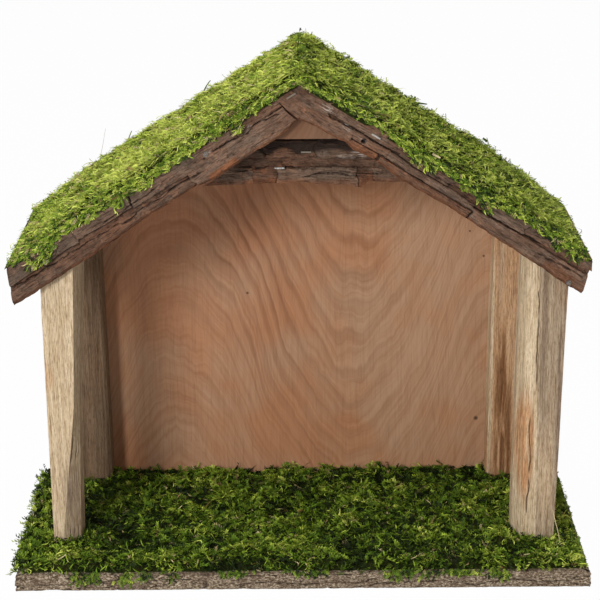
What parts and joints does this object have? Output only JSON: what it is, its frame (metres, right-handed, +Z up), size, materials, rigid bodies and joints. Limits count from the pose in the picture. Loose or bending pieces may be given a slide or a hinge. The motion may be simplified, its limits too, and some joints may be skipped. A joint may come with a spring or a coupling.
{
  "type": "wooden nativity stable",
  "caption": "Open-fronted wooden stable with rough posts, a plywood back, a mossy gable roof, bark trim along the front and a moss-covered base board.",
  "frame": {"origin": "middle of the base board's underside, on the surface it stands on", "axes": "+X to the right along the base board's length, +Y to the back, so the open front faces -Y, +Z up"},
  "size_m": [0.33, 0.146, 0.2953],
  "materials": {
    "base_wood": "rough weathered board",
    "post_wood": "rough sawn, unfinished",
    "plywood": "sanded plywood, unfinished",
    "bark": "natural pine bark",
    "moss": "dried sheet moss",
    "steel": "dull wire"
  },
  "bodies": {
    "root": {"base_board": "base_wood", "ground_moss": "moss", "front_left_post": "post_wood", "front_right_post": "post_wood", "back_left_post": "post_wood", "back_right_post": "post_wood", "back_panel": "plywood", "roof_panel_left": "plywood", "roof_panel_right": "plywood", "roof_moss_left": "moss", "roof_moss_right": "moss", "front_gusset": "plywood", "collar_tie": "plywood", "collar_bark": "bark", "fascia_bark_left": "bark", "fascia_bark_right": "bark", "post_screws": "steel", "back_panel_nails": "steel", "roof_nails": "steel", "fascia_nails": "steel", "fascia_staples": "steel", "collar_staples": "steel"}
  },
  "joints": []
}
